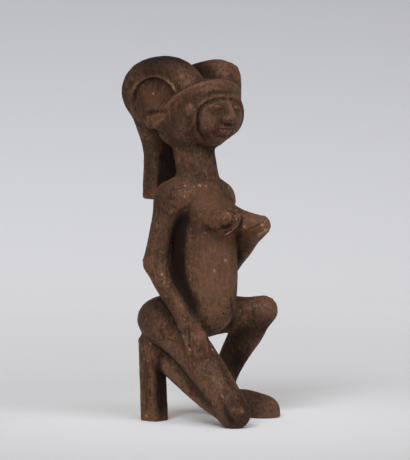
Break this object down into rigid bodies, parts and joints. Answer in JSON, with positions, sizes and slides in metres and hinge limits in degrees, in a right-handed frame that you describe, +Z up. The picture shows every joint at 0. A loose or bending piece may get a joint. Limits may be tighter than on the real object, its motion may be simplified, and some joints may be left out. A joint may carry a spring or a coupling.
{
  "type": "kneeling female figure",
  "caption": "Carved wooden female figure kneeling on one knee, a hand on her thigh and a hand holding her breast, hair in swept-back rolls.",
  "frame": {"origin": "on the ground, in the middle under the figure's bounding box", "axes": "+Z up from the ground to the crown of the hair, -Y the way the figure faces, +X towards her own left side"},
  "size_m": [0.1988, 0.2002, 0.4961],
  "materials": {
    "dark_wood": "old hardwood with a matt, crusty dark brown patina, paler where it is worn"
  },
  "bodies": {
    "root": {"kneeling_figure": "dark_wood"}
  },
  "joints": []
}
